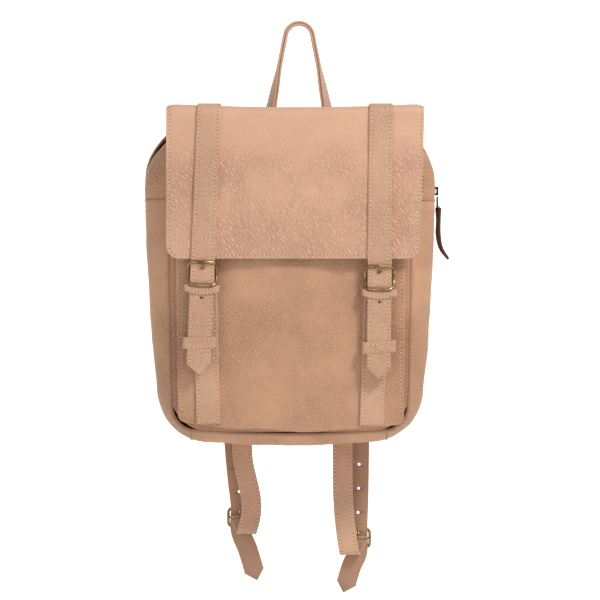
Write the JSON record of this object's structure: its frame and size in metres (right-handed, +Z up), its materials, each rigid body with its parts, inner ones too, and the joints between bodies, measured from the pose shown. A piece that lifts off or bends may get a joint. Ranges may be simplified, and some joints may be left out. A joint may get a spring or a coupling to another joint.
{
  "type": "leather backpack",
  "caption": "Leather backpack with a front flap, buckled flap straps, a round carrying handle, a zipped top gusset and hanging shoulder straps.",
  "frame": {"origin": "centre of the handle's round arch, where a hook or rail carries the bag", "axes": "+Z up, the flap faces -Y, +X to the viewer's right of the front"},
  "size_m": [0.3217, 0.145, 0.6056],
  "materials": {
    "bag_leather": "soft tumbled grain, satin",
    "flap_leather": "soft tumbled grain with fine creases, satin",
    "pull_leather": "dark smooth leather",
    "antique_brass": "antique, darkened in the corners",
    "zip_metal": "gunmetal plating",
    "zip_tape": "woven polyester tape"
  },
  "bodies": {
    "bag": {"zip_strip_front": "bag_leather", "zip_strip_rear": "bag_leather", "zip_tape_front": "zip_tape", "zip_tape_rear": "zip_tape", "gusset_left": "bag_leather", "gusset_right": "bag_leather", "base_panel": "bag_leather", "back_panel": "bag_leather", "body_front": "bag_leather", "front_panel": "bag_leather", "pocket_band": "bag_leather", "flap_root": "flap_leather", "yoke": "bag_leather", "body_strap_left": "bag_leather", "body_strap_right": "bag_leather", "snap_socket_left": "antique_brass", "snap_socket_right": "antique_brass", "shoulder_strap_left": "bag_leather", "shoulder_strap_right": "bag_leather", "lower_anchor_left": "bag_leather", "lower_anchor_right": "bag_leather", "handle_end_left": "bag_leather", "handle_end_right": "bag_leather"},
    "flap_top": {"flap_top": "flap_leather", "crown_strap_left": "bag_leather", "crown_strap_right": "bag_leather"},
    "flap_front": {"flap_front": "flap_leather", "flap_strap_left": "flap_leather", "flap_strap_right": "flap_leather", "chape_left": "bag_leather", "chape_right": "bag_leather", "buckle_left": "antique_brass", "buckle_right": "antique_brass", "keeper_fixed_left": "bag_leather", "keeper_fixed_right": "bag_leather", "snap_stud_left": "antique_brass", "snap_stud_right": "antique_brass"},
    "handle": {"handle": "bag_leather"},
    "zip_slider": {"zip_slider": "zip_metal"},
    "zip_pull": {"pull_ring": "zip_metal", "zip_pull": "pull_leather"},
    "prong_left": {"prong_left": "antique_brass"},
    "keeper_left": {"keeper_sliding_left": "bag_leather"},
    "prong_right": {"prong_right": "antique_brass"},
    "keeper_right": {"keeper_sliding_right": "bag_leather"},
    "strap_loop_left": {"strap_tail_left": "bag_leather", "lower_strap_left": "bag_leather", "strap_buckle_left": "antique_brass"},
    "strap_prong_left": {"strap_prong_left": "antique_brass"},
    "strap_loop_right": {"strap_tail_right": "bag_leather", "lower_strap_right": "bag_leather", "strap_buckle_right": "antique_brass"},
    "strap_prong_right": {"strap_prong_right": "antique_brass"}
  },
  "joints": [
    {"name": "flap_open", "type": "hinge", "parent": "bag", "child": "flap_top", "pos_m": [0, -0.0113, -0.078], "axis": [-1, 0, 0], "range_deg": [0, 80]},
    {"name": "flap_straighten", "type": "hinge", "parent": "flap_top", "child": "flap_front", "pos_m": [0, -0.117, -0.078], "axis": [-1, 0, 0], "range_deg": [0, 80]},
    {"name": "handle_fold", "type": "hinge", "parent": "bag", "child": "handle", "pos_m": [0, -0.004, -0.098], "axis": [-1, 0, 0], "range_deg": [0, 90]},
    {"name": "zip_slide", "type": "slide", "parent": "bag", "child": "zip_slider", "axis": [-0.06, 0, 0.9982], "range_m": [0, 0.024]},
    {"name": "zip_pull_swing", "type": "hinge", "parent": "zip_slider", "child": "zip_pull", "pos_m": [0.1456, -0.055, -0.1705], "axis": [0, -1, 0], "range_deg": [0, 150]},
    {"name": "prong_left_lift", "type": "hinge", "parent": "flap_front", "child": "prong_left", "pos_m": [-0.1012, -0.1182, -0.251], "axis": [0.9992, 0, -0.0408], "range_deg": [0, 8]},
    {"name": "keeper_left_slide", "type": "slide", "parent": "flap_front", "child": "keeper_left", "axis": [0.0408, 0, 0.9992], "range_m": [-0.012, 0.004]},
    {"name": "prong_right_lift", "type": "hinge", "parent": "flap_front", "child": "prong_right", "pos_m": [0.084, -0.1182, -0.2555], "axis": [1, 0, -0.0094], "range_deg": [0, 8]},
    {"name": "keeper_right_slide", "type": "slide", "parent": "flap_front", "child": "keeper_right", "axis": [0.0094, 0, 1], "range_m": [-0.012, 0.004]},
    {"name": "strap_left_swing", "type": "hinge", "parent": "bag", "child": "strap_loop_left", "pos_m": [-0.062, -0.01, -0.424], "axis": [1, 0, 0], "range_deg": [0, 125]},
    {"name": "strap_prong_left_lift", "type": "hinge", "parent": "strap_loop_left", "child": "strap_prong_left", "pos_m": [-0.062, -0.0124, -0.509], "axis": [-1, 0, 0], "range_deg": [0, 8]},
    {"name": "strap_right_swing", "type": "hinge", "parent": "bag", "child": "strap_loop_right", "pos_m": [0.062, -0.01, -0.424], "axis": [1, 0, 0], "range_deg": [0, 125]},
    {"name": "strap_prong_right_lift", "type": "hinge", "parent": "strap_loop_right", "child": "strap_prong_right", "pos_m": [0.062, -0.0124, -0.531], "axis": [-1, 0, 0], "range_deg": [0, 8]}
  ],
  "couplings": [
    {"joint": "flap_straighten", "follows": "flap_open", "ratio": 1}
  ]
}
